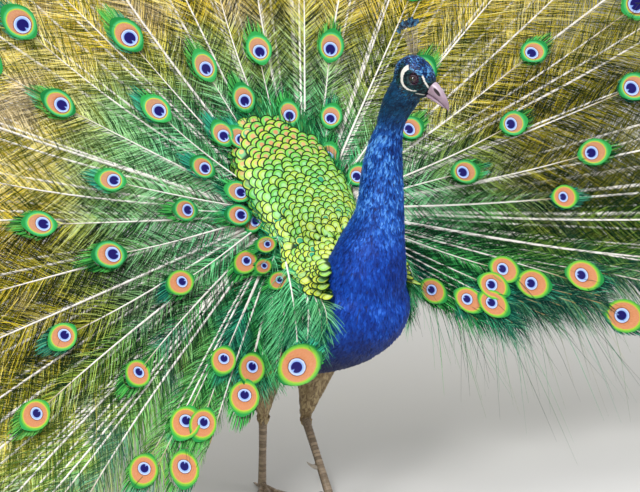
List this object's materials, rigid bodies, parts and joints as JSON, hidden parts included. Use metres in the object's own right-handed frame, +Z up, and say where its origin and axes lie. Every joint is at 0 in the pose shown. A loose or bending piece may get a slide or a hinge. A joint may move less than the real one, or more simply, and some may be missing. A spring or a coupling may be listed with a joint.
{
  "type": "displaying male indian peafowl",
  "caption": "Life-size standing peacock with its eyed train fanned over its back, head turned to its left; an unjointed display model of the live bird.",
  "frame": {"origin": "bottom centre of the whole bird's bounding box, on the floor", "axes": "+Z up; the fan faces -Y; +X is the bird's left side, and the spread of the train is longest along X"},
  "size_m": [2.4414, 0.8602, 1.6684],
  "materials": {
    "blue_plumage": "dense short glossy feathers, royal blue",
    "face_plumage": "very short glossy green-black feathers with white bare skin",
    "bill_horn": "mauve-grey horn",
    "eye_brown": "wet dark brown eye",
    "crest_plumage": "bare shafts with blue fan tips",
    "mantle_plumage": "gold-green scale feathers",
    "rump_plumage": "dark soft feathers",
    "tail_plumage": "plain brown tail feathers",
    "wing_plumage": "barred buff coverts and chestnut primaries",
    "thigh_plumage": "short tan feathers",
    "leg_scales": "grey-brown horny scales",
    "train_plumage": "loose bronze-green barbs with eyespots"
  },
  "bodies": {
    "root": {"trunk": "blue_plumage", "neck_lower": "blue_plumage", "neck_upper": "blue_plumage", "head": "face_plumage", "bill_upper": "bill_horn", "bill_lower": "bill_horn", "eye_left": "eye_brown", "eye_right": "eye_brown", "crest": "crest_plumage", "mantle": "mantle_plumage", "rump": "rump_plumage", "tail": "tail_plumage", "wing_left": "wing_plumage", "wing_right": "wing_plumage", "thigh_left": "thigh_plumage", "tarsus_left": "leg_scales", "foot_left": "leg_scales", "thigh_right": "thigh_plumage", "tarsus_right": "leg_scales", "foot_right": "leg_scales", "train_01": "train_plumage", "train_02": "train_plumage", "train_03": "train_plumage", "train_04": "train_plumage", "train_05": "train_plumage", "train_06": "train_plumage", "train_07": "train_plumage", "train_08": "train_plumage", "train_09": "train_plumage", "train_10": "train_plumage", "train_11": "train_plumage", "train_12": "train_plumage", "train_13": "train_plumage"}
  },
  "joints": []
}
